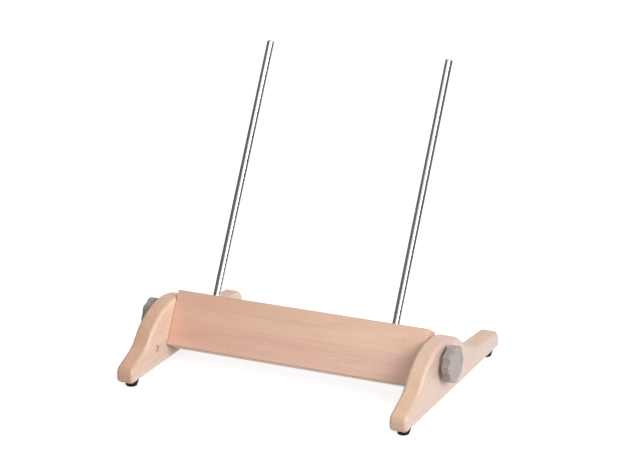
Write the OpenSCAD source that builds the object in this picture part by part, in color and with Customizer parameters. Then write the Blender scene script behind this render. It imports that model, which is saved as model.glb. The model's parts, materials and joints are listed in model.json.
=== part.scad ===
// Tilting lazy kate: two bow-shaped timber legs carry a board that tilts between them.
// Two steel rods stand in the board and hold the bobbins. A hand knob at each end
// clamps the board at any angle.
// Axes: X across the stand, Y from front to back, Z up. The origin is on the table,
// under the middle of the whole part.

/* [Stand] */
// Distance between the outer faces of the two legs
stand_w = 336; // [260:2:420]
// Thickness of each leg
leg_t = 20; // [16:1:26]
// Front tip of a leg to the tilt axis
front_reach = 100; // [94:1:120]
// Tilt axis to the rear tip of a leg
rear_reach = 158; // [150:1:190]
// Height of the tilt axis above the table
pivot_h = 47; // [45:1:54]
// Timber above the tilt axis at the top of the hump
crest_h = 24; // [20:1:28]
// Radius of the hump over the tilt axis
hump_r = 78; // [72:1:84]
// Height of the toe's sloping top at the very tip, above the underside
toe_h = 16; // [14:0.5:18]
// Slope of the toe's top
toe_slope = 21.5; // [16:0.5:24]
// Radius of the hollow between the toe and the hump
front_hollow_r = 35; // [20:1:45]
// Radius of the toe's upper corner
toe_r = 10; // [8:0.5:12]
// Height of the rear arm's sloping top at the very tip, above the underside
tail_h = 19.5; // [18:0.5:22]
// Slope of the rear arm's top
tail_slope = 4.8; // [2:0.2:6]
// Radius of the hollow between the hump and the rear arm
rear_hollow_r = 95; // [80:5:110]
// Radius of the rear tip's upper corner
tail_r = 11; // [8:0.5:13]
// Radius of the two lower corners
sole_r = 4.5; // [4.5:0.5:7]
// Round-over along all the edges of a leg
edge_r = 4; // [2:0.5:4]

/* [Drilled hole in each leg] */
// Diameter of the shallow round hole in the inner face
spot_d = 8; // [6:0.5:10]
// Depth of that hole
spot_depth = 2; // [1:0.5:6]
// Hole to the tilt axis, towards the front
spot_forward = 44.5; // [40:0.5:50]
// Hole below the tilt axis
spot_drop = 18.5; // [14:0.5:22]

/* [Rubber feet] */
// Height of a foot
foot_h = 7; // [5:0.5:10]
// Diameter where it meets the timber
foot_top_d = 16; // [13:0.5:18]
// Diameter at the table
foot_bottom_d = 12.5; // [10.5:0.5:13]
// Leg tip to the middle of its foot
foot_inset = 15.5; // [14:0.5:22]

/* [Board] */
// Height of the board, across the grain
board_h = 62; // [50:1:70]
// Thickness of the board
board_t = 20; // [18:1:24]
// Rounding of the board's long edges
board_edge_r = 1.5; // [0.5:0.5:3]
// Clearance between each end of the board and its leg
board_gap = 0.3; // [0.3:0.1:1]
// Angle that the board leans back at rest
tilt = 30; // [10:1:45]

/* [Rods] */
// Diameter of a rod
rod_d = 8; // [6:0.5:10]
// Whole length of a rod
rod_length = 320; // [200:5:360]
// Depth of its socket in the board
socket_depth = 30; // [20:1:36]
// Distance between the two rods
rod_spacing = 212; // [140:2:220]
// Chamfer at the rod's free end
rod_chamfer = 1.2; // [0.4:0.2:2]
// Step down to the turned end that is pressed into the board, on the radius
seat_step = 0.5; // [0.4:0.1:1]

/* [Clamp knobs] */
// Diameter over the lobes
knob_d = 40; // [34:1:44]
// Depth of the grip
knob_t = 9; // [7:0.5:12]
// Number of lobes
knob_lobes = 8; // [6:1:10]
// Depth of the scallops between the lobes
scallop_depth = 1.6; // [0.8:0.2:2.4]
// Diameter of the hub that bears on the washer
hub_d = 18; // [16:0.5:20]
// Length of the hub behind the grip
hub_l = 2.6; // [2:0.2:5]
// Diameter of the threaded stud
stud_d = 8; // [6:1:8]
// Thread length that the stud has in the board
stud_grip = 14; // [10:1:16]

/* [Washers and inserts] */
// Outer diameter of the washer
washer_d = 24; // [20:1:30]
// Thickness of the washer
washer_t = 1.6; // [1:0.2:2.4]
// Outer diameter of the threaded insert
insert_d = 11; // [10:0.5:13]
// Length of the threaded insert
insert_l = 15; // [12:1:18]

/* [Hidden] */
$fn = 96;

beech = [0.90, 0.76, 0.64];
steel = [0.72, 0.73, 0.75];
zinc = [0.62, 0.63, 0.66];
brass = [0.78, 0.62, 0.32];
grey_plastic = [0.62, 0.58, 0.55];
black_rubber = [0.06, 0.06, 0.06];

// Fits
pivot_clearance = 0.10;    // stud in the leg, on the radius
thread_clearance = 0.05;   // stud in the insert, on the radius
face_gap = 0.05;           // between flat faces that turn on each other

// Rods and their sockets
rod_r = rod_d / 2;
seat_r = rod_r - seat_step;

// Where the parts stand. The rods lean back past the legs, so they may set the depth.
rod_reach = board_h / 2 - socket_depth + rod_length;
rods_back = (rod_reach - rod_chamfer) * sin(tilt) + rod_r * cos(tilt);
pivot_y = (front_reach - max(rear_reach, rods_back)) / 2;
leg_inner = stand_w / 2 - leg_t;
board_end = leg_inner - board_gap;
front_foot_y = foot_inset - front_reach;
rear_foot_y = rear_reach - foot_inset;

// Hardware along the tilt axis, measured outwards from the leg's outer face
washer_x = stand_w / 2 + face_gap;
hub_x = washer_x + washer_t + face_gap;
grip_x = hub_x + hub_l;
face_x = grip_x + knob_t;
stud_r = stud_d / 2;
stud_in_knob = 5;
stud_chamfer = 1;
stud_start = board_end - stud_grip;
stud_end = grip_x + stud_in_knob;

// Knob details
scallop_r = 11;
grip_edge_r = 1.6;
dish_d = 27;
dish_depth = 0.5;
pocket_depth = 4;
pocket_r = knob_d / 2 - scallop_depth - 2.4;
rib_t = 1.6;

// Insert details
flange_d = insert_d + 2.5;
flange_t = 1.2;
relief_r = stud_r + 0.6;
relief_depth = stud_grip + 6;

// Foot and screw details
screw_shank_r = 1.6;
screw_head_r = 3.1;
screw_head_t = 2.2;
screw_in_leg = 11;
screw_tip = 3;
recess_r = 3.6;
recess_depth = 3.4;
foot_edge_r = 1;
slot_l = 3.6;
slot_w = 0.9;
slot_depth = 1.2;

// ---- Outline of a leg, in the plane of Y and Z, round the tilt axis ----
// Each entry of the outline is a point and the outward direction there.

base_z = foot_h - pivot_h;
hump_c = [0, crest_h - hump_r];
step_angle = 7.5;          // widest step along an arc, in degrees
step_length = 3;           // longest step along an arc

// Points along an arc from angle a0 to a1. side is 1 where the edge bulges, -1 where it is hollow.
function arc(c, r, a0, a1, side) =
    let (turn = abs(a1 - a0), n = ceil(max(turn / step_angle, turn * PI / 180 * r / step_length)))
    [for (i = [0 : n]) let (a = a0 + (a1 - a0) * i / n, u = [cos(a), sin(a)]) [c + r * u, side * u]];

function angle_to(from, to) = atan2(to[1] - from[1], to[0] - from[0]);

// The sloping top of each end is a straight line through its point q. u runs up along the line,
// towards the hump, and n points out of the timber.
toe_q = [-front_reach, base_z + toe_h];
toe_u = [cos(toe_slope), sin(toe_slope)];
toe_n = [-sin(toe_slope), cos(toe_slope)];
tail_q = [rear_reach, base_z + tail_h];
tail_u = [-cos(tail_slope), sin(tail_slope)];
tail_n = [sin(tail_slope), cos(tail_slope)];

// Centre of an end's upper corner, which touches the sloping top and the upright tip
function corner_centre(q, u, n, slope, r) = q + u * r * (1 - sin(slope)) / cos(slope) - n * r;

// Centre of a hollow, which touches the sloping top and the hump
function hollow_centre(q, u, n, r) =
    let (w = q + n * r - hump_c, b = w * u)
    hump_c + w - u * (b + sqrt(b * b - w * w + pow(hump_r + r, 2)));

toe_c = corner_centre(toe_q, toe_u, toe_n, toe_slope, toe_r);
tail_c = corner_centre(tail_q, tail_u, tail_n, tail_slope, tail_r);
front_hollow_c = hollow_centre(toe_q, toe_u, toe_n, front_hollow_r);
rear_hollow_c = hollow_centre(tail_q, tail_u, tail_n, rear_hollow_r);
front_touch = angle_to(front_hollow_c, hump_c);
rear_touch = angle_to(rear_hollow_c, hump_c);

leg_outline = concat(
    arc([rear_reach - sole_r, base_z + sole_r], sole_r, 0, -90, 1),
    arc([sole_r - front_reach, base_z + sole_r], sole_r, -90, -180, 1),
    arc(toe_c, toe_r, 180, 90 + toe_slope, 1),
    arc(front_hollow_c, front_hollow_r, toe_slope - 90, front_touch, -1),
    arc(hump_c, hump_r, front_touch + 180, rear_touch + 180, 1),
    arc(rear_hollow_c, rear_hollow_r, rear_touch, -90 - tail_slope, -1),
    arc(tail_c, tail_r, 90 - tail_slope, 0, 1));

// Each flat face of the plate is a fan of triangles round this point, which sees the whole outline
fan_c = [rear_reach / 4, base_z + 1.5 * edge_r];
round_steps = 5;

// A plate of thickness t with the given outline, and all its edges rounded over by r
module rounded_plate(outline, t, r) {
    half = [for (k = [0 : round_steps]) let (a = 90 * k / round_steps) [r * (1 - cos(a)), r * (1 - sin(a))]];
    rings = concat(half, [for (k = [round_steps : -1 : 0]) [t - half[k][0], half[k][1]]]);
    n = len(outline);
    last = len(rings) - 1;
    rim = [for (ring = rings) for (e = outline) let (p = e[0] - ring[1] * e[1]) [ring[0], p[0], p[1]]];
    hubs = [for (x = [0, t]) [x, fan_c[0], fan_c[1]]];
    sides = [for (k = [0 : last - 1]) for (j = [0 : n - 1]) let (j2 = (j + 1) % n)
        [k * n + j, k * n + j2, (k + 1) * n + j2, (k + 1) * n + j]];
    first_face = [for (j = [0 : n - 1]) [len(rim), (j + 1) % n, j]];
    last_face = [for (j = [0 : n - 1]) [len(rim) + 1, last * n + j, last * n + (j + 1) % n]];
    polyhedron(concat(rim, hubs), concat(sides, first_face, last_face));
}

// ---- Placing ----

// Children stand on the tilt axis, with Y and Z measured from it
module at_pivot() {
    translate([0, pivot_y, pivot_h]) children();
}

// Children lean with the board: Z runs up along it, Y through its thickness
module leaning() {
    at_pivot() rotate([-tilt, 0, 0]) children();
}

// Children are made for the right-hand end. side is 1 there and -1 at the left
module on_side(side) {
    if (side > 0) children();
    else mirror([1, 0, 0]) children();
}

// Children stand at one foot's middle, on the table
module at_foot(side, y) {
    translate([side * (stand_w / 2 - leg_t / 2), pivot_y + y, 0]) children();
}

// A cylinder along X, from x0 to x1
module bar_x(x0, x1, r) {
    translate([x0, 0, 0]) rotate([0, 90, 0]) cylinder(h = x1 - x0, r = r);
}

// ---- Timber ----

module leg(side) {
    color(beech) on_side(side) at_pivot() difference() {
        translate([leg_inner, 0, 0]) rounded_plate(leg_outline, leg_t, edge_r);
        bar_x(leg_inner - 1, stand_w / 2 + 1, stud_r + pivot_clearance);
        translate([0, -spot_forward, -spot_drop]) bar_x(leg_inner - 1, leg_inner + spot_depth, spot_d / 2);
        for (y = [front_foot_y, rear_foot_y])
            translate([leg_inner + leg_t / 2, y, base_z - 1]) {
                cylinder(h = 1 + screw_in_leg - screw_tip, r = screw_shank_r);
                translate([0, 0, 1 + screw_in_leg - screw_tip])
                    cylinder(h = screw_tip, r1 = screw_shank_r, r2 = 0.3);
            }
    }
}

module rounded_rectangle(w, h, r) {
    square([w - 2 * r, h], center = true);
    square([w, h - 2 * r], center = true);
    for (x = [-1, 1], y = [-1, 1])
        translate([x * (w / 2 - r), y * (h / 2 - r)]) circle(r = r);
}

module tilting_board() {
    color(beech) leaning() difference() {
        translate([-board_end, 0, 0]) rotate([90, 0, 90])
            linear_extrude(height = 2 * board_end) rounded_rectangle(board_t, board_h, board_edge_r);
        for (x = [-1, 1] * rod_spacing / 2)
            translate([x, 0, board_h / 2 - socket_depth]) cylinder(h = socket_depth + 1, r = seat_r);
        for (side = [-1, 1]) on_side(side) {
            bar_x(board_end - insert_l, board_end + 1, insert_d / 2);
            bar_x(board_end - flange_t, board_end + 1, flange_d / 2);
            bar_x(board_end - relief_depth, board_end, relief_r);
        }
    }
}

// ---- Steel rods ----

module rod(side) {
    color(steel) leaning() translate([side * rod_spacing / 2, 0, board_h / 2 - socket_depth])
        rotate_extrude() polygon([
            [0, 0],
            [seat_r, 0],
            [seat_r, socket_depth],
            [rod_r, socket_depth],
            [rod_r, rod_length - rod_chamfer],
            [rod_r - rod_chamfer, rod_length],
            [0, rod_length]]);
}

// ---- Clamp hardware ----

// Section of the knob: x is the radius, y runs outwards from the hub's face
grip_profile = concat(
    [[stud_r, 0], [hub_d / 2, 0], [hub_d / 2, hub_l + pocket_depth], [pocket_r, hub_l + pocket_depth]],
    [[pocket_r, hub_l]],
    [for (a = [-90 : 15 : 0]) [knob_d / 2 - grip_edge_r / 2 + grip_edge_r / 2 * cos(a),
                               hub_l + grip_edge_r / 2 + grip_edge_r / 2 * sin(a)]],
    [for (a = [0 : 15 : 90]) [knob_d / 2 - grip_edge_r + grip_edge_r * cos(a),
                              hub_l + knob_t - grip_edge_r + grip_edge_r * sin(a)]],
    [[dish_d / 2 + dish_depth, hub_l + knob_t], [dish_d / 2, hub_l + knob_t - dish_depth]],
    [[0, hub_l + knob_t - dish_depth], [0, stud_in_knob + hub_l], [stud_r, stud_in_knob + hub_l]]);

module knob(side) {
    color(grey_plastic) on_side(side) at_pivot() translate([hub_x, 0, 0]) rotate([0, 90, 0]) {
        difference() {
            rotate_extrude() polygon(grip_profile);
            for (i = [0 : knob_lobes - 1]) rotate([0, 0, (i + 0.5) * 360 / knob_lobes])
                translate([knob_d / 2 + scallop_r - scallop_depth, 0, -1])
                    cylinder(h = hub_l + knob_t + 2, r = scallop_r);
        }
        for (i = [0 : knob_lobes - 1]) rotate([0, 0, i * 360 / knob_lobes])
            translate([hub_d / 2 - 0.4, -rib_t / 2, hub_l + 0.4])
                cube([pocket_r - hub_d / 2 + 0.8, rib_t, pocket_depth - 0.2]);
    }
}

module stud(side) {
    length = stud_end - stud_start;
    color(zinc) on_side(side) at_pivot() translate([stud_start, 0, 0]) rotate([0, 90, 0])
        rotate_extrude() polygon([
            [0, 0],
            [stud_r - stud_chamfer, 0],
            [stud_r, stud_chamfer],
            [stud_r, length],
            [0, length]]);
}

module washer(side) {
    color(zinc) on_side(side) at_pivot() translate([washer_x, 0, 0]) rotate([0, 90, 0])
        difference() {
            cylinder(h = washer_t, r = washer_d / 2);
            translate([0, 0, -1]) cylinder(h = washer_t + 2, r = stud_r + pivot_clearance);
        }
}

module insert(side) {
    color(brass) on_side(side) at_pivot() difference() {
        union() {
            bar_x(board_end - insert_l, board_end, insert_d / 2);
            bar_x(board_end - flange_t, board_end, flange_d / 2);
        }
        bar_x(board_end - insert_l - 1, board_end + 1, stud_r + thread_clearance);
    }
}

// ---- Feet ----

module foot(side, y) {
    color(black_rubber) at_foot(side, y) rotate_extrude() polygon(concat(
        [[recess_r, 0]],
        [for (a = [-90 : 15 : 0]) [foot_bottom_d / 2 - foot_edge_r + foot_edge_r * cos(a),
                                   foot_edge_r + foot_edge_r * sin(a)]],
        [[foot_top_d / 2, foot_h - foot_edge_r], [foot_top_d / 2, foot_h]],
        [[screw_shank_r, foot_h], [screw_shank_r, recess_depth], [recess_r, recess_depth]]));
}

module screw(side, y) {
    color(zinc) at_foot(side, y) difference() {
        rotate_extrude() polygon([
            [0, recess_depth - screw_head_t],
            [screw_head_r - 0.8, recess_depth - screw_head_t],
            [screw_head_r, recess_depth - screw_head_t + 0.8],
            [screw_head_r, recess_depth],
            [screw_shank_r, recess_depth],
            [screw_shank_r, foot_h + screw_in_leg - screw_tip],
            [0.3, foot_h + screw_in_leg],
            [0, foot_h + screw_in_leg]]);
        for (turn = [0, 90]) rotate([0, 0, turn])
            translate([-slot_l / 2, -slot_w / 2, recess_depth - screw_head_t - 1])
                cube([slot_l, slot_w, 1 + slot_depth]);
    }
}

leg(-1);  // left_leg
leg(1);  // right_leg
tilting_board();
rod(-1);  // left_rod
rod(1);  // right_rod
knob(-1);  // left_knob
knob(1);  // right_knob
stud(-1);  // left_stud
stud(1);  // right_stud
washer(-1);  // left_washer
washer(1);  // right_washer
insert(-1);  // left_insert
insert(1);  // right_insert
foot(-1, front_foot_y);  // front_left_foot
foot(1, front_foot_y);  // front_right_foot
foot(-1, rear_foot_y);  // rear_left_foot
foot(1, rear_foot_y);  // rear_right_foot
screw(-1, front_foot_y);  // front_left_screw
screw(1, front_foot_y);  // front_right_screw
screw(-1, rear_foot_y);  // rear_left_screw
screw(1, rear_foot_y);  // rear_right_screw
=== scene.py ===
import json
import math

import bmesh
import bpy
from mathutils import Matrix, Vector


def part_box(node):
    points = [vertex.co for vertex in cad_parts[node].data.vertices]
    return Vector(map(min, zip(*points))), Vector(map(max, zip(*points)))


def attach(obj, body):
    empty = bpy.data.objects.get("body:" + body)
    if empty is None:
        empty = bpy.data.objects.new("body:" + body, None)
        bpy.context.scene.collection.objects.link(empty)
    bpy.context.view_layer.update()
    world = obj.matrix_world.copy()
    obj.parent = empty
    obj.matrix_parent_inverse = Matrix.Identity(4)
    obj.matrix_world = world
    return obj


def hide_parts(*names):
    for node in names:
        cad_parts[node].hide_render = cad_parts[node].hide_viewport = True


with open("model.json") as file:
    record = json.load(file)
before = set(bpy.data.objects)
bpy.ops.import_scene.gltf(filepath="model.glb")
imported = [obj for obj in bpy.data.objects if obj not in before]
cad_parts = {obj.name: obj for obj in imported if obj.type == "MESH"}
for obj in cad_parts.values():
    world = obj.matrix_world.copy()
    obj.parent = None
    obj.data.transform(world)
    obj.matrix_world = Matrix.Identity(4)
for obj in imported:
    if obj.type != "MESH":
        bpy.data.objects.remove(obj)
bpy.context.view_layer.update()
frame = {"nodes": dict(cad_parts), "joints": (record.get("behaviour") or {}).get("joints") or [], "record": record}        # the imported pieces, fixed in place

mm = 0.001
joints = {joint["name"]: joint for joint in frame["joints"]}
mounts = {mount["name"]: mount for mount in frame["record"]["mounts"]}
pivot = Vector(joints["board_tilt"]["pos_m"])        # middle of the tilt axis


# camera

cameraValues = {
    "azimuth": 25.754,        # degrees to the right of straight ahead
    "elevation": 19.239,
    "roll": -0.903,
    "spot": (1.0106, -2.0882, 0.9640),
    "lens": 133.37,
    "sensor": 36.0,
}


def makeCamera(values):
    camera = bpy.data.objects.new("camera", bpy.data.cameras.new("camera"))
    bpy.context.scene.collection.objects.link(camera)
    turn = (Matrix.Rotation(math.radians(values["azimuth"]), 4, "Z")
            @ Matrix.Rotation(math.radians(90 - values["elevation"]), 4, "X")
            @ Matrix.Rotation(math.radians(values["roll"]), 4, "Z"))
    camera.matrix_world = Matrix.Translation(values["spot"]) @ turn
    camera.data.sensor_width = values["sensor"]
    camera.data.lens = values["lens"]
    camera.data.clip_start = 0.05
    camera.data.clip_end = 50
    bpy.context.scene.camera = camera


makeCamera(cameraValues)


# shader building

class Wire:        # an output socket that Python's maths can work on
    def __init__(self, paint, socket):
        self.paint = paint
        self.socket = socket

    def maths(self, operation, first, second):
        return self.paint.node("ShaderNodeMath", {"operation": operation}, {0: first, 1: second})

    def __add__(self, other):
        return self.maths("ADD", self, other)

    def __radd__(self, other):
        return self.maths("ADD", other, self)

    def __sub__(self, other):
        return self.maths("SUBTRACT", self, other)

    def __rsub__(self, other):
        return self.maths("SUBTRACT", other, self)

    def __mul__(self, other):
        return self.maths("MULTIPLY", self, other)

    def __rmul__(self, other):
        return self.maths("MULTIPLY", other, self)


class Paint:        # the nodes of one material, or of the world
    def __init__(self, owner):
        owner.use_nodes = True
        self.owner = owner
        self.tree = owner.node_tree
        self.tree.nodes.clear()

    def node(self, kind, settings=None, sockets=None, output=0):
        made = self.tree.nodes.new(kind)
        for key, value in (settings or {}).items():
            if key == "stops":
                self.setStops(made.color_ramp, value)
            else:
                setattr(made, key, value)
        for key, value in (sockets or {}).items():
            if isinstance(value, Wire):
                self.tree.links.new(value.socket, made.inputs[key])
            else:
                made.inputs[key].default_value = value
        return Wire(self, made.outputs[output]) if len(made.outputs) else made

    def setStops(self, ramp, stops):        # stops are (place, grey level)
        while len(ramp.elements) > 1:
            ramp.elements.remove(ramp.elements[-1])
        for i, (place, level) in enumerate(stops):
            element = ramp.elements[0] if i == 0 else ramp.elements.new(place)
            element.position = place
            element.color = (level, level, level, 1)

    def ramp(self, value, stops):
        return self.node("ShaderNodeValToRGB", {"stops": stops}, {"Fac": value})

    def mix(self, factor, first, second, blend="MIX"):        # of two colours
        settings = {"data_type": "RGBA", "blend_type": blend, "clamp_factor": True}
        return self.node("ShaderNodeMix", settings, {0: factor, 6: first, 7: second}, output=2)

    def scaled(self, spot, scale, shift=(0, 0, 0)):
        return self.node("ShaderNodeMapping", {}, {"Vector": spot, "Location": shift, "Scale": scale})

    def noise(self, spot, detail=2.0, roughness=0.5):
        return self.node("ShaderNodeTexNoise", {"noise_dimensions": "3D"},
                         {"Vector": spot, "Scale": 1.0, "Detail": detail, "Roughness": roughness})

    def cells(self, spot):
        return self.node("ShaderNodeTexVoronoi", {"feature": "F1"},
                         {"Vector": spot, "Scale": 1.0, "Randomness": 1.0})

    def bump(self, height, distance, strength=1.0):
        return self.node("ShaderNodeBump", {},
                         {"Height": height, "Distance": distance, "Strength": strength})

    def finish(self, sockets):
        surface = self.node("ShaderNodeBsdfPrincipled", {}, sockets)
        self.node("ShaderNodeOutputMaterial", {}, {"Surface": surface})
        return self.owner


def newPaint(name):
    return Paint(bpy.data.materials.new(name))


def opaque(colour):
    return (*colour, 1)


# mesh building

def linked(name, mesh):
    made = bpy.data.objects.new(name, mesh)
    bpy.context.scene.collection.objects.link(made)
    return made


def objectFrom(name, shape):        # turns a bmesh into an object
    bmesh.ops.recalc_face_normals(shape, faces=shape.faces)
    mesh = bpy.data.meshes.new(name)
    shape.to_mesh(mesh)
    shape.free()
    return linked(name, mesh)


def softEdges(piece, sharpAngle=32):        # smooth faces, crisp only where the surface really turns
    shape = bmesh.new()
    shape.from_mesh(piece.data)
    for face in shape.faces:
        face.smooth = True
    for edge in shape.edges:
        edge.smooth = edge.calc_face_angle(0) < math.radians(sharpAngle)
    shape.to_mesh(piece.data)
    shape.free()
    weighted = piece.modifiers.new("weighted normals", "WEIGHTED_NORMAL")
    weighted.keep_sharp = True
    weighted.weight = 100


def bridge(shape, low, high):        # a band of faces between two closed loops
    for j in range(len(low)):
        k = (j + 1) % len(low)
        shape.faces.new((low[j], low[k], high[k], high[j]))


def arcRun(centre, radius, start, end, side=1, step=3.0):        # points and outward directions
    count = max(2, math.ceil(abs(end - start) / step))
    run = []
    for i in range(count + 1):
        angle = math.radians(start + (end - start) * i / count)
        out = Vector((math.cos(angle), math.sin(angle)))
        run.append((Vector(centre) + radius * out, side * out))
    return run


def loftPlate(name, outline, width, roundness, steps):        # a plate across X, all its edges rounded
    turns = [math.pi / 2 * k / steps for k in range(steps + 1)]
    half = [(roundness * (1 - math.cos(a)), roundness * (1 - math.sin(a))) for a in turns]
    rings = half + [(width - x, inset) for x, inset in reversed(half)]
    shape = bmesh.new()
    loops = []
    for x, inset in rings:
        inner = [point - inset * out for point, out in outline]
        loops.append([shape.verts.new(Vector((x, p.x, p.y)) * mm) for p in inner])
    for low, high in zip(loops, loops[1:]):
        bridge(shape, low, high)
    shape.faces.new(loops[0][::-1])
    shape.faces.new(loops[-1])
    return objectFrom(name, shape)


def lathe(name, profile, segments=64, closed=False):        # profile is (radius, height) up the Z axis
    shape = bmesh.new()
    rings = []
    for radius, height in profile:
        if radius == 0:
            rings.append([shape.verts.new((0, 0, height * mm))])
            continue
        turns = [2 * math.pi * i / segments for i in range(segments)]
        rings.append([shape.verts.new(Vector((radius * math.cos(a), radius * math.sin(a), height)) * mm)
                      for a in turns])
    pairs = list(zip(rings, rings[1:])) + ([(rings[-1], rings[0])] if closed else [])
    for low, high in pairs:
        if len(low) == 1 or len(high) == 1:
            tip, loop = (low[0], high) if len(low) == 1 else (high[0], low)
            for j in range(segments):
                shape.faces.new((tip, loop[j], loop[(j + 1) % segments]))
        else:
            bridge(shape, low, high)
    return objectFrom(name, shape)


def corner(centre, radius, start, end, steps=4):        # a rounded corner in a lathe profile
    turns = [math.radians(start + (end - start) * i / steps) for i in range(steps + 1)]
    return [(centre[0] + radius * math.cos(a), centre[1] + radius * math.sin(a)) for a in turns]


def reshape(piece, matrix):        # moves the mesh itself, and keeps its faces turned outwards
    piece.data.transform(matrix)
    if matrix.determinant() < 0:
        piece.data.flip_normals()
    return piece


def carve(piece, tools):        # cuts the tools out of the piece, then throws them away
    for tool in tools:
        cut = piece.modifiers.new("cut", "BOOLEAN")
        cut.operation = "DIFFERENCE"
        cut.solver = "EXACT"
        cut.object = tool
    bpy.context.view_layer.update()
    graph = bpy.context.evaluated_depsgraph_get()
    carved = bpy.data.meshes.new_from_object(piece.evaluated_get(graph))
    piece.modifiers.clear()
    piece.data = carved
    for tool in tools:
        bpy.data.objects.remove(tool)


def drillBit(radius, length, spot, axis="Z"):        # starts at spot and runs along axis
    bit = lathe("bit", [(0, 0), (radius, 0), (radius, length), (0, length)], 48)
    turn = {"Z": Matrix.Identity(4), "X": Matrix.Rotation(math.radians(90), 4, "Y")}[axis]
    return reshape(bit, Matrix.Translation(Vector(spot) * mm) @ turn)


def place(piece, matrix, body, node, slot, material):
    piece.matrix_world = matrix
    piece.data.materials.clear()
    piece.data.materials.append(material)
    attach(piece, body)
    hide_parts(node)


toRight = Matrix.Identity(4)
toLeft = Matrix.Diagonal((-1, 1, 1, 1))
sides = {"left": toLeft, "right": toRight}
alongX = Matrix.Rotation(math.radians(90), 4, "Y")        # a lathed piece turned to lie along X


# timber

def beech(name, values):
    along = values["along"]        # axis that the grain follows
    paint = newPaint(name)
    spot = paint.node("ShaderNodeTexCoord", output="Object")

    def stretched(across, down):        # features for each metre, across and down the grain
        scale = [across] * 3
        scale[along] = down
        return paint.scaled(spot, scale, values["shift"])

    drift = paint.noise(stretched(*values["drift"]), detail=1.0)
    rings = paint.node("ShaderNodeMath", {"operation": "FRACT"}, {0: drift * values["ringCount"]})
    late = paint.ramp(rings, [(0.0, 0.0), (0.62, 0.25), (0.90, 1.0), (1.0, 0.0)])
    cloud = paint.noise(stretched(*values["cloud"]), detail=3.0, roughness=0.55)
    blush = paint.noise(stretched(*values["blushes"]), detail=2.0)
    fibre = paint.noise(stretched(*values["fibre"]), detail=3.0, roughness=0.6)
    streak = paint.noise(stretched(*values["streak"]), detail=3.0, roughness=0.55)
    fleckCell = paint.cells(stretched(*values["flecks"]))
    fleckField = paint.noise(stretched(*values["fleckField"]), detail=1.0)
    fleck = (paint.ramp(fleckCell, [(0.0, 1.0), (0.18, 0.7), (0.32, 0.0)])
             * paint.ramp(fleckField, [(0.38, 0.0), (0.60, 1.0)]))
    normal = paint.node("ShaderNodeTexCoord", output="Normal")
    facing = [paint.node("ShaderNodeMath", {"operation": "ABSOLUTE"}, {
        0: paint.node("ShaderNodeSeparateXYZ", {}, {"Vector": normal}, output=i)}) for i in range(3)]
    ends = paint.ramp(facing[along], [(0.55, 0.0), (0.95, 1.0)])
    paintedSheenFlats = paint.ramp(facing[values["flat"]], [(0.35, 0.0), (0.9, 1.0)])        # the wide sawn faces, which get a painted sheen
    paintedEdgeShade = 2 * facing[(along + 1) % 3] * facing[(along + 2) % 3]        # the rounded long edges, darkened as painted shade
    poreCell = paint.cells(paint.scaled(spot, [values["pores"]] * 3))
    pores = paint.ramp(poreCell, [(0.10, 1.0), (0.34, 0.0)])
    runs = paint.node("ShaderNodeSeparateXYZ", {}, {"Vector": spot}, output=along)
    start, end = values["reach"]

    tone = 0.35 * cloud + values["ringDepth"] * late + 0.30 * streak + 0.25 * fibre
    toneSpread = paint.ramp(tone, [(values["toneLow"], 0.0), (values["toneHigh"], 1.0)])
    colour = paint.mix(toneSpread, opaque(values["pale"]), opaque(values["deep"]))
    blushed = paint.ramp(blush, [(0.38, 0.0), (0.62, 1.0)])
    warmth = paint.mix(blushed, opaque(values["honey"]), opaque(values["blush"]))
    colour = paint.mix(1.0, colour, warmth, "MULTIPLY")
    # painted sheen: the wide faces are tinted lighter and paler, standing in for bright reflections at grazing angles
    colour = paint.mix(paintedSheenFlats, colour, paint.mix(1.0, colour, opaque(values["paintedSheenTint"]), "MULTIPLY"))
    share = (runs - start) * (1 / (end - start))        # of the way along the grain
    # a tint along the grain; on the board it is partly painted light, lifting the right end
    lengthTint = paint.mix(share, opaque(values["startTint"]), opaque(values["endTint"]))
    colour = paint.mix(1.0, colour, lengthTint, "MULTIPLY")
    # painted shade: the rounded long edges are darkened
    colour = paint.mix(paintedEdgeShade * values["edgeShadeDepth"], colour, opaque(values["edgeShadeColour"]))
    colour = paint.mix(fleck * values["fleckDepth"], colour, opaque(values["fleck"]))
    colour = paint.mix(ends * values["endDepth"], colour, opaque(values["endGrain"]))
    colour = paint.mix(ends * pores * values["poreDepth"], colour, opaque(values["fleck"]))
    height = 0.6 * fibre - 0.8 * fleck - 0.5 * ends * pores
    rough = values["roughness"] + 0.10 * (fibre - 0.5) + 0.08 * ends
    return paint.finish({
        "Base Color": colour,
        "Roughness": rough,
        "Specular IOR Level": values["specular"],
        "Coat Weight": values["varnish"],
        "Coat Roughness": values["varnishRoughness"],
        "Normal": paint.bump(height, values["bumpDepth"], 0.5),
    })


beechCommon = {
    # features for each metre, across and down the grain
    "drift": (30, 2.0), "cloud": (38, 7.0), "blushes": (16, 5.0), "fibre": (1300, 26), "streak": (400, 4.5),
    "flecks": (1250, 260), "fleckField": (120, 40), "pores": 2600,
    "ringCount": 9.0, "ringDepth": 0.10, "toneLow": 0.34, "toneHigh": 0.64,
    "blush": (1.0, 0.97, 1.01), "honey": (1.0, 1.0, 0.94),
    "fleckDepth": 0.5, "endDepth": 0.35, "poreDepth": 0.25,
    "roughness": 0.44, "specular": 0.5, "varnish": 0.4, "varnishRoughness": 0.35, "bumpDepth": 0.0001,
    "startTint": (1.0, 1.0, 1.0), "endTint": (1.0, 1.0, 1.0), "edgeShadeDepth": 0.0, "edgeShadeColour": (0.38, 0.27, 0.22),
}

# the legs' wide faces carry a painted sheen through their tint; the left leg's darker, more saturated base colour is
# partly painted shade
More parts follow.
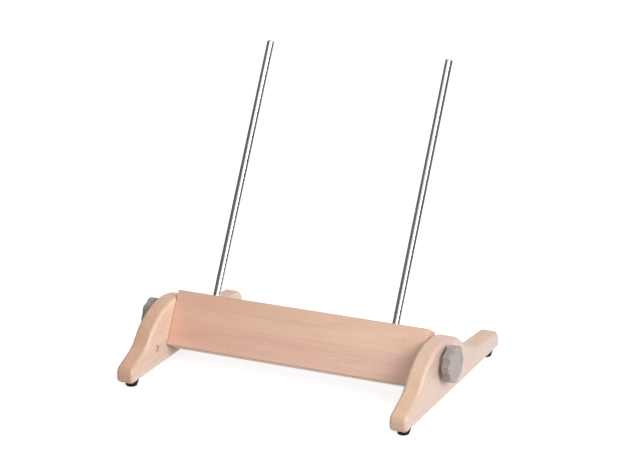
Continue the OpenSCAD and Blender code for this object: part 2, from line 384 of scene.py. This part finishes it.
leftTimber = dict(beechCommon, along=1, flat=0, reach=(-0.10, 0.158), shift=(3.1, 7.7, 1.3),
                  pale=(0.75, 0.46, 0.33), deep=(0.62, 0.345, 0.235), paintedSheenTint=(1.07, 1.35, 1.54),
                  endTint=(1.05, 1.10, 1.12), fleck=(0.40, 0.23, 0.15), endGrain=(0.60, 0.38, 0.27))
rightTimber = dict(beechCommon, along=1, flat=0, reach=(-0.10, 0.158), shift=(9.4, 2.2, 5.8),
                   pale=(0.765, 0.535, 0.405), deep=(0.665, 0.43, 0.30), paintedSheenTint=(0.955, 1.055, 1.25),
                   fleck=(0.43, 0.26, 0.18), endGrain=(0.64, 0.44, 0.33))
# the board runs warmer and darker at the left end and lighter at the right: partly a real drift of the wood, partly
# painted light lifting the right end out of the right leg's shade
boardTimber = dict(beechCommon, along=0, flat=1, reach=(-0.16, 0.16), shift=(5.5, 4.1, 8.9),
                   pale=(0.83, 0.545, 0.425), deep=(0.71, 0.43, 0.32), paintedSheenTint=(1.0, 1.0, 1.0),
                   startTint=(0.97, 0.93, 0.87), endTint=(1.08, 1.14, 1.16), edgeShadeDepth=0.5,
                   fleck=(0.39, 0.22, 0.14), endGrain=(0.58, 0.37, 0.26))


# legs

legValues = {        # millimetres, measured from the tilt axis
    "frontReach": 100, "rearReach": 158, "crest": 24, "humpRadius": 78,
    "toe": {"height": 16, "slope": 21.5, "hollowRadius": 35, "cornerRadius": 10},
    "tail": {"height": 19.5, "slope": 4.8, "hollowRadius": 95, "cornerRadius": 11},
    "soleRadius": 4.5, "edgeRadius": 4,
    "pivotBore": 4.1, "spotRadius": 4, "spotDepth": 2, "spotForward": 44.5, "spotDrop": 18.5,
    "screwBore": 1.6, "screwDepth": 11, "footInset": 15.5,
}


def endRun(v, end, reach, side, sole):        # arcs of one end, from its tip to the hump; side is -1 in front
    slope, r, hollow = math.radians(end["slope"]), end["cornerRadius"], end["hollowRadius"]
    along = Vector((-side * math.cos(slope), math.sin(slope)))        # up the sloping top, towards the hump
    out = Vector((side * math.sin(slope), math.cos(slope)))
    tip = Vector((side * reach, sole + end["height"]))
    corner = tip + along * r * (1 - math.sin(slope)) / math.cos(slope) - out * r
    hump = Vector((0, v["crest"] - v["humpRadius"]))
    gap = tip + out * hollow - hump
    slide = -gap.dot(along) - math.sqrt(gap.dot(along) ** 2 - gap.dot(gap) + (v["humpRadius"] + hollow) ** 2)
    middle = hump + gap + along * slide        # of the hollow, which touches the sloping top and the hump
    touch = math.degrees(math.atan2(hump.y - middle.y, hump.x - middle.x))
    leant = 90 - side * end["slope"]
    start = 0 if side > 0 else 180
    return touch, (arcRun(corner, r, start, leant, 1, 5),
                   arcRun(middle, hollow, leant - 180, touch, -1, 120 / hollow))


def legOutline(v, sole):        # sole is the height of the underside
    back, front, r = v["rearReach"], -v["frontReach"], v["soleRadius"]
    frontTouch, toe = endRun(v, v["toe"], -front, -1, sole)
    rearTouch, tail = endRun(v, v["tail"], back, 1, sole)
    return (arcRun((back - r, sole + r), r, 0, -90, 1, 9) + arcRun((front + r, sole + r), r, -90, -180, 1, 9)
            + toe[0] + toe[1]
            + arcRun((0, v["crest"] - v["humpRadius"]), v["humpRadius"], frontTouch + 180, rearTouch + 180, 1, 1.2)
            + tail[1][::-1] + tail[0][::-1])


def makeLeg(side, timber):
    v = legValues
    low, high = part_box(side + "_leg")
    inner = min(abs(low.x), abs(high.x))
    width = (high.x - low.x) / mm
    sole = (low.z - pivot.z) / mm
    piece = loftPlate(side + "_leg_timber", legOutline(v, sole), width, v["edgeRadius"], 8)
    tools = [drillBit(v["pivotBore"], width + 2, (-1, 0, 0), "X"),
             drillBit(v["spotRadius"], 1 + v["spotDepth"], (-1, -v["spotForward"], -v["spotDrop"]), "X")]
    for y in (v["footInset"] - v["frontReach"], v["rearReach"] - v["footInset"]):
        tools.append(drillBit(v["screwBore"], 1 + v["screwDepth"], (width / 2, y, sole - 1)))
    carve(piece, tools)
    reshape(piece, sides[side] @ Matrix.Translation((inner, 0, 0)))
    softEdges(piece)
    place(piece, Matrix.Translation(pivot), "stand", side + "_leg", "leg_timber", timber)


makeLeg("left", beech("leftLegBeech", leftTimber))
makeLeg("right", beech("rightLegBeech", rightTimber))
print("legs made")


# board

boardValues = {
    "height": 62, "thickness": 20, "edgeRadius": 1.5, "endEase": 0.5,
    "socketDepth": 30, "seatRadius": 3.5, "boreRadius": 4.6, "boreDepth": 20,
    "insertRadius": 5.5, "insertDepth": 15, "flangeRadius": 6.75, "flangeDepth": 1.2,
}

rodAxis = Vector(mounts["right_rod_pin"]["axis"])
across = Vector((1, 0, 0))
lean = Matrix((across, rodAxis.cross(across), rodAxis)).transposed().to_4x4()        # Z runs up the board
leaning = Matrix.Translation(pivot) @ lean
rodSpacing = (mounts["right_rod_pin"]["pos_m"][0] - mounts["left_rod_pin"]["pos_m"][0]) / mm


def makeBoard(timber):
    v = boardValues
    low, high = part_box("tilting_board")
    length = (high.x - low.x) / mm
    r = v["edgeRadius"]
    halfT, halfH = v["thickness"] / 2 - r, v["height"] / 2 - r
    outline = []
    for y, z, start in ((halfT, -halfH, 0), (-halfT, -halfH, -90), (-halfT, halfH, -180), (halfT, halfH, -270)):
        outline += arcRun((y, z), r, start, start - 90, 1, 15)
    piece = loftPlate("tilting_board_timber", outline, length, v["endEase"], 3)
    reshape(piece, Matrix.Translation((-length / 2 * mm, 0, 0)))
    tools = []
    for side in (-1, 1):
        spot = (side * rodSpacing / 2, 0, v["height"] / 2 - v["socketDepth"])
        tools.append(drillBit(v["seatRadius"], v["socketDepth"] + 1, spot))
        well = [(0, -v["boreDepth"]), (v["boreRadius"], -v["boreDepth"]), (v["boreRadius"], -v["insertDepth"]),
                (v["insertRadius"], -v["insertDepth"]), (v["insertRadius"], -v["flangeDepth"]),
                (v["flangeRadius"], -v["flangeDepth"]), (v["flangeRadius"], 1), (0, 1)]
        end = Matrix.Translation((length / 2 * mm, 0, 0)) @ alongX
        tools.append(reshape(lathe("bit", well, 48), (toLeft if side < 0 else toRight) @ end))
    carve(piece, tools)
    softEdges(piece)
    place(piece, leaning, "board", "tilting_board", "board_timber", timber)


makeBoard(beech("boardBeech", boardTimber))
print("board made")


# steel rods

rodValues = {
    "radius": 4, "length": 320, "seat": 30, "seatRadius": 3.5, "seatEase": 0.4, "chamfer": 1.2,
    "rings": (60, 180),        # above the seat, along the plain length
    "steel": (0.50, 0.49, 0.48), "bright": (0.62, 0.61, 0.60), "roughness": 0.15,
}


def drawnSteel(name, v):
    paint = newPaint(name)
    standing = paint.node("ShaderNodeTexCoord", output="Object")
    spot = paint.node("ShaderNodeMapping", {}, {"Vector": standing, "Rotation": lean.inverted().to_euler()})
    lines = paint.noise(paint.scaled(spot, (1500, 1500, 9)), detail=3.0, roughness=0.6)
    haze = paint.noise(paint.scaled(spot, (70, 70, 22)), detail=3.0)
    colour = paint.mix(0.5 * lines + 0.5 * haze, opaque(v["steel"]), opaque(v["bright"]))
    return paint.finish({
        "Base Color": colour,
        "Metallic": 1.0,
        "Roughness": v["roughness"] + 0.12 * (haze - 0.5) + 0.08 * (lines - 0.5),
        "Normal": paint.bump(lines, 0.00002, 0.15),
    })


def makeRod(side, steel):
    v = rodValues
    r, top, c = v["radius"], v["length"], v["chamfer"]
    seatR, seat, ease = v["seatRadius"], v["seat"], v["seatEase"]
    profile = [(0, 0), (seatR - ease, 0), (seatR, ease), (seatR, seat), (r, seat)]
    profile += [(r, seat + height) for height in v["rings"]]
    # the chamfer at the tip, with both its edges taken off
    profile += [(r, top - c - 0.25), (r - 0.06, top - c), (r - 0.25, top - c + 0.22),
                (r - c + 0.1, top - 0.14), (r - c - 0.1, top), (r / 2, top), (0, top)]
    piece = lathe(side + "_rod_steel", profile, 64)
    softEdges(piece, 25)
    foot = boardValues["height"] / 2 - v["seat"]
    out = rodSpacing / 2 if side == "right" else -rodSpacing / 2
    reshape(piece, leaning @ Matrix.Translation(Vector((out, 0, foot)) * mm))
    place(piece, Matrix.Identity(4), "board", side + "_rod", "rod_steel", steel)


steel = drawnSteel("drawnSteel", rodValues)
makeRod("left", steel)
makeRod("right", steel)
print("rods made")


# knobs, studs and washers

knobValues = {        # heights run outwards from the face of the hub
    "radius": 20, "lobes": 8, "scallopDepth": 1.6, "scallopRadius": 11, "blend": 0.7,
    "hubRadius": 9, "hub": 2.6, "grip": 9, "pocketDepth": 4, "wall": 2.4, "ribWidth": 1.6,
    "faceRound": 1.6, "backRound": 0.8, "dishRadius": 13.5, "dishDepth": 0.5, "dishFloor": 5,
    "bore": 4.03, "boreDepth": 7.6, "boreEase": 0.35, "hubEdge": 0.5, "pocketEdge": 0.6, "pocketMouth": 0.3,
    "perLobe": 24,
    "plastic": (0.29, 0.24, 0.205), "worn": (0.40, 0.355, 0.33), "roughness": 0.34,
}


def moulded(name, v):
    paint = newPaint(name)
    spot = paint.node("ShaderNodeTexCoord", output="Object")
    grit = paint.noise(paint.scaled(spot, (2400, 2400, 2400)), detail=2.0, roughness=0.6)
    flow = paint.noise(paint.scaled(spot, (160, 300, 90)), detail=2.0, roughness=0.5)
    rub = paint.noise(paint.scaled(spot, (150, 150, 150)), detail=3.0)
    tone = paint.ramp(0.35 * grit + 0.3 * flow + 0.35 * rub, [(0.34, 0.0), (0.66, 1.0)])
    colour = paint.mix(tone, opaque(v["plastic"]), opaque(v["worn"]))
    return paint.finish({
        "Base Color": colour,
        "Roughness": v["roughness"] + 0.12 * (flow - 0.5) + 0.1 * (grit - 0.5),
        "Normal": paint.bump(0.6 * grit + 0.4 * rub, 0.00012, 0.5),
    })


def lobedRadius(angle, v):        # the scalloped rim at an angle, its corners blended
    pitch = 2 * math.pi / v["lobes"]
    off = (angle + pitch / 2) % pitch - pitch / 2
    off = pitch / 2 - abs(off)        # from the middle of the nearest scallop
    centre = v["radius"] + v["scallopRadius"] - v["scallopDepth"]
    inside = v["scallopRadius"] ** 2 - (centre * math.sin(off)) ** 2
    if inside <= 0:
        return v["radius"]
    hollow = centre * math.cos(off) - math.sqrt(inside)
    share = max(v["blend"] - abs(v["radius"] - hollow), 0) / v["blend"]
    return min(v["radius"], hollow) - share ** 2 * v["blend"] / 4


def makeKnob(side, plastic):
    v = knobValues
    count = v["lobes"] * v["perLobe"]
    turns = [2 * math.pi * i / count for i in range(count)]
    rims = [lobedRadius(a, v) for a in turns]
    face = v["hub"] + v["grip"]
    pocket = v["radius"] - v["scallopDepth"] - v["wall"]
    floor = v["hub"] + v["pocketDepth"]
    back, front = v["backRound"], v["faceRound"]
    shape = bmesh.new()

    def ring(height, radius=None, inset=0.0):        # round, or following the lobes
        radii = [radius] * count if radius is not None else [r - inset for r in rims]
        return [shape.verts.new(Vector((r * math.cos(a), r * math.sin(a), height)) * mm)
                for r, a in zip(radii, turns)]

    ease, hubEdge, edge, mouth = v["boreEase"], v["hubEdge"], v["pocketEdge"], v["pocketMouth"]
    loops = [ring(v["boreDepth"], v["bore"]), ring(ease, v["bore"]), ring(0, v["bore"] + ease)]
    loops += [ring(h, r) for r, h in corner((v["hubRadius"] - hubEdge, hubEdge), hubEdge, -90, 0)]
    loops += [ring(h, r) for r, h in corner((v["hubRadius"] + edge, floor - edge), edge, 180, 90)]
    loops += [ring(h, r) for r, h in corner((pocket - edge, floor - edge), edge, 90, 0)]
    loops += [ring(v["hub"] + mouth, pocket), ring(v["hub"], pocket + mouth)]
    loops += [ring(h, inset=-r) for r, h in corner((-back, v["hub"] + back), back, -90, 0)]
    loops += [ring(h, inset=-r) for r, h in corner((-front, face - front), front, 0, 90, 6)]
    loops += [ring(h, r) for r, h in corner((v["dishRadius"] + 0.7, face - 0.4), 0.4, 90, 150, 3)]
    loops += [ring(face - v["dishDepth"], r) for r in (v["dishRadius"], v["dishFloor"])]
    for low, high in zip(loops, loops[1:]):
        bridge(shape, low, high)
    shape.faces.new(loops[0])
    shape.faces.new(loops[-1])
    for i in range(v["lobes"]):        # ribs in the pocket behind the grip
        long = pocket - v["hubRadius"] + 0.8
        grown = bmesh.ops.create_cube(shape, size=1)["verts"]
        middle = Vector((v["hubRadius"] - 0.4 + long / 2, 0, v["hub"] + 0.4 + (v["pocketDepth"] - 0.2) / 2))
        size = Matrix.Diagonal((long, v["ribWidth"], v["pocketDepth"] - 0.2, 1))
        turn = Matrix.Rotation(2 * math.pi * i / v["lobes"], 4, "Z")
        for vert in grown:
            vert.co = (turn @ (Matrix.Translation(middle) @ size @ vert.co)) * mm
    piece = objectFrom(side + "_knob_moulding", shape)
    hubFace = axisSpot("knob", face)
    reshape(piece, sides[side] @ Matrix.Translation((hubFace, 0, 0)) @ alongX)
    softEdges(piece, 28)
    place(piece, Matrix.Translation(pivot), side + "_knob", side + "_knob", "knob_plastic", plastic)


def axisSpot(part, depth=0.0):        # a right-hand part's inner end, or depth inside its outer end, in metres
    low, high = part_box("right_" + part)
    return high.x - depth * mm if depth else low.x


studValues = {
    "radius": 4, "pitch": 1.25, "depth": 0.68, "perTurn": 36, "perPitch": 6, "plainEnd": 7.6,
    "zinc": (0.60, 0.61, 0.63), "dull": (0.48, 0.49, 0.51), "roughness": 0.30,
}


def plated(name, v):
    paint = newPaint(name)
    spot = paint.node("ShaderNodeTexCoord", output="Object")
    bloom = paint.noise(paint.scaled(spot, (420, 420, 420)), detail=4.0, roughness=0.6)
    scuff = paint.noise(paint.scaled(spot, (1800, 300, 1800)), detail=2.0)
    colour = paint.mix(bloom, opaque(v["dull"]), opaque(v["zinc"]))
    return paint.finish({
        "Base Color": colour,
        "Metallic": 1.0,
        "Roughness": v["roughness"] + 0.2 * (bloom - 0.5),
        "Normal": paint.bump(scuff, 0.00003, 0.3),
    })


def makeStud(side, zinc):
    v = studValues
    low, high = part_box("right_stud")
    length = (high.x - low.x) / mm
    threaded = length - v["plainEnd"]
    count = math.ceil(threaded / v["pitch"] * v["perPitch"])
    shape = bmesh.new()
    loops = []
    for k in range(count + 1):
        height = threaded * k / count
        ease = min(1, height / v["pitch"], (threaded - height) / v["pitch"])        # the thread runs out at both ends
        loop = []
        for i in range(v["perTurn"]):
            turn = i / v["perTurn"]
            wave = abs((height / v["pitch"] - turn) % 1 * 2 - 1)        # 0 at the root, 1 at the crest
            radius = v["radius"] - v["depth"] * ease * (1 - min(1, wave * 1.15))
            radius -= max(0, 1 - height) * 0.9        # chamfered tip
            angle = 2 * math.pi * turn
            spot = Vector((radius * math.cos(angle), radius * math.sin(angle), height))
            loop.append(shape.verts.new(spot * mm))
        loops.append(loop)
    turns = [2 * math.pi * i / v["perTurn"] for i in range(v["perTurn"])]
    loops.append([shape.verts.new(Vector((v["radius"] * math.cos(a), v["radius"] * math.sin(a), length)) * mm)
                  for a in turns])
    for below, above in zip(loops, loops[1:]):
        bridge(shape, below, above)
    shape.faces.new(loops[0][::-1])
    shape.faces.new(loops[-1])
    piece = objectFrom(side + "_stud_thread", shape)
    reshape(piece, sides[side] @ Matrix.Translation((low.x, 0, 0)) @ alongX)
    softEdges(piece, 40)
    place(piece, Matrix.Translation(pivot), side + "_knob", side + "_stud", "zinc_steel", zinc)


washerValues = {"bore": 4.1, "radius": 12, "thickness": 1.6, "edge": 0.25}


def makeWasher(side, zinc):
    v = washerValues
    e, t = v["edge"], v["thickness"]
    profile = (corner((v["radius"] - e, e), e, -90, 0, 3) + corner((v["radius"] - e, t - e), e, 0, 90, 3)
               + [(v["bore"] + e, t), (v["bore"], t - e), (v["bore"], e), (v["bore"] + e, 0)])
    piece = lathe(side + "_washer_disc", profile, 72, closed=True)
    reshape(piece, sides[side] @ Matrix.Translation((axisSpot("washer"), 0, 0)) @ alongX)
    softEdges(piece)
    place(piece, Matrix.Translation(pivot), side + "_washer", side + "_washer", "zinc_steel", zinc)


plastic = moulded("greyMoulding", knobValues)
zinc = plated("zincPlate", studValues)
for side in sides:
    makeKnob(side, plastic)
    makeStud(side, zinc)
    makeWasher(side, zinc)
print("knobs, studs and washers made")


# inserts

insertValues = {"brass": (0.72, 0.52, 0.24), "dull": (0.55, 0.38, 0.16), "roughness": 0.32}

brass = plated("turnedBrass", {"zinc": insertValues["brass"], "dull": insertValues["dull"],
                               "roughness": insertValues["roughness"]})


def finishNode(node, material):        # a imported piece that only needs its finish
    mesh = frame["nodes"][node].data
    for i in range(len(mesh.materials)):
        mesh.materials[i] = material


for side in sides:
    finishNode(side + "_insert", brass)


# feet

footValues = {
    "height": 7, "topRadius": 8, "bottomRadius": 6.25, "edge": 1, "recessRadius": 3.6, "recess": 3.4, "shank": 1.6,
    "rubber": (0.004, 0.004, 0.004), "dusty": (0.013, 0.012, 0.011), "roughness": 0.6,
}


def rubberFinish(name, v):
    paint = newPaint(name)
    spot = paint.node("ShaderNodeTexCoord", output="Object")
    grain = paint.noise(paint.scaled(spot, (1900, 1900, 1900)), detail=3.0, roughness=0.6)
    dust = paint.noise(paint.scaled(spot, (260, 260, 260)), detail=3.0)
    colour = paint.mix(paint.ramp(dust, [(0.35, 0.0), (0.75, 1.0)]), opaque(v["rubber"]), opaque(v["dusty"]))
    return paint.finish({
        "Base Color": colour,
        "Roughness": v["roughness"] + 0.25 * (dust - 0.5),
        "Specular IOR Level": 0.15,
        "Normal": paint.bump(grain, 0.0001, 0.4),
    })


def makeFoot(node, rubber):
    v = footValues
    low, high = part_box(node)
    middle = (low + high) / 2
    e, top = v["edge"], v["height"]
    profile = ([(v["recessRadius"], 0)] + corner((v["bottomRadius"] - e, e), e, -90, 8, 5)
               + [(v["topRadius"] - 0.05, top - 1.1)] + corner((v["topRadius"] - 0.3, top - 0.8), 0.3, 0, 0, 1)
               + [(v["topRadius"], top - 0.15), (v["topRadius"] - 0.15, top), (v["shank"], top),
                  (v["shank"], v["recess"]), (v["recessRadius"], v["recess"])])
    piece = lathe(node + "_rubber", profile, 56, closed=True)
    softEdges(piece)
    place(piece, Matrix.Translation((middle.x, middle.y, 0)), "stand", node, "foot_rubber", rubber)


rubber = rubberFinish("blackRubber", footValues)
for end in ("front", "rear"):
    for side in sides:
        makeFoot(end + "_" + side + "_foot", rubber)
        finishNode(end + "_" + side + "_screw", zinc)
print("feet made")


# floor, lamps and view

stageValues = {
    "floorSize": 14.0, "floor": (0.50, 0.50, 0.50), "floorLift": 0.78,
    "skyLight": 0.42,
    "cardShade": 0.2,
    "cards": [        # dark cards that only polished surfaces mirror
        {"azimuth": -64, "distance": 0.62, "width": 2.3, "height": 1.05},
        {"azimuth": 118, "distance": 0.40, "width": 0.80, "height": 0.55}],
    "key": {"azimuth": 66, "elevation": 28, "distance": 3.2, "width": 2.0, "height": 1.6, "power": 84},
    "top": {"azimuth": 10, "elevation": 66, "distance": 2.4, "width": 2.0, "height": 2.0, "power": 8},
}


def makeLamp(name, v):
    a, e = math.radians(v["azimuth"]), math.radians(v["elevation"])
    away = Vector((math.sin(a) * math.cos(e), -math.cos(a) * math.cos(e), math.sin(e)))
    data = bpy.data.lights.new(name, "AREA")
    data.shape = "RECTANGLE"
    data.size = v["width"]
    data.size_y = v["height"]
    data.energy = v["power"]
    lamp = linked(name, data)
    lamp.location = Vector((0, 0, 0.1)) + away * v["distance"]
    lamp.rotation_euler = away.to_track_quat("Z", "Y").to_euler()


seenRays = ("Is Camera Ray", "Is Glossy Ray", "Is Transmission Ray")


def rays(paint, *kinds):        # 1 for rays of these kinds
    path = paint.tree.nodes.new("ShaderNodeLightPath")
    shown = Wire(paint, path.outputs[kinds[0]])
    for kind in kinds[1:]:
        shown = shown + Wire(paint, path.outputs[kind])
    return paint.node("ShaderNodeMath", {"operation": "MINIMUM"}, {0: shown, 1: 1.0})


def makeFloor(v):
    paint = newPaint("floorPaper")
    spot = paint.node("ShaderNodeTexCoord", output="Object")
    tooth = paint.noise(paint.scaled(spot, (900, 900, 900)), detail=2.0)
    matt = paint.node("ShaderNodeBsdfDiffuse", {}, {
        "Color": opaque(v["floor"]), "Normal": paint.bump(tooth, 0.00005, 0.2)})
    lift = paint.node("ShaderNodeEmission", {}, {
        "Color": (1, 1, 1, 1), "Strength": v["floorLift"] * rays(paint, *seenRays)})
    both = paint.node("ShaderNodeAddShader", {}, {0: matt, 1: lift})
    paint.node("ShaderNodeOutputMaterial", {}, {"Surface": both})
    shape = bmesh.new()
    bmesh.ops.create_grid(shape, x_segments=1, y_segments=1, size=v["floorSize"] / 2)
    floor = objectFrom("floor", shape)
    floor.data.materials.append(paint.owner)


def makeSky(v):
    world = bpy.data.worlds.new("studio")
    bpy.context.scene.world = world
    sky = Paint(world)
    shown = rays(sky, *seenRays)
    strength = v["skyLight"] + (1 - v["skyLight"]) * shown
    light = sky.node("ShaderNodeBackground", {}, {"Color": (1, 1, 1, 1), "Strength": strength})
    sky.node("ShaderNodeOutputWorld", {}, {"Surface": light})


def makeCards(v):
    paint = newPaint("darkCard")
    spot = paint.node("ShaderNodeTexCoord", output="Object")
    shade = paint.noise(paint.scaled(spot, (3, 3, 3))) * 0.1 + (v["cardShade"] - 0.05)
    glow = paint.node("ShaderNodeEmission", {}, {"Color": (1, 1, 1, 1), "Strength": shade})
    paint.node("ShaderNodeOutputMaterial", {}, {"Surface": glow})
    for card in v["cards"]:
        shape = bmesh.new()
        bmesh.ops.create_grid(shape, x_segments=1, y_segments=1, size=0.5)
        sheet = objectFrom("dark_card", shape)
        a = math.radians(card["azimuth"])
        away = Vector((math.sin(a), -math.cos(a), 0))
        upright = away.to_track_quat("Z", "Y").to_matrix().to_4x4()
        size = Matrix.Diagonal((card["width"], card["height"], 1, 1))
        middle = away * card["distance"] + Vector((0, 0, card["height"] / 2))
        sheet.matrix_world = Matrix.Translation(middle) @ upright @ size
        sheet.data.materials.append(paint.owner)
        for kind in ("camera", "diffuse", "transmission", "volume_scatter", "shadow"):
            setattr(sheet, "visible_" + kind, False)


makeFloor(stageValues)
makeCards(stageValues)
makeSky(stageValues)
makeLamp("key", stageValues["key"])
makeLamp("top", stageValues["top"])
bpy.context.scene.view_settings.view_transform = "Standard"
print("stage made")
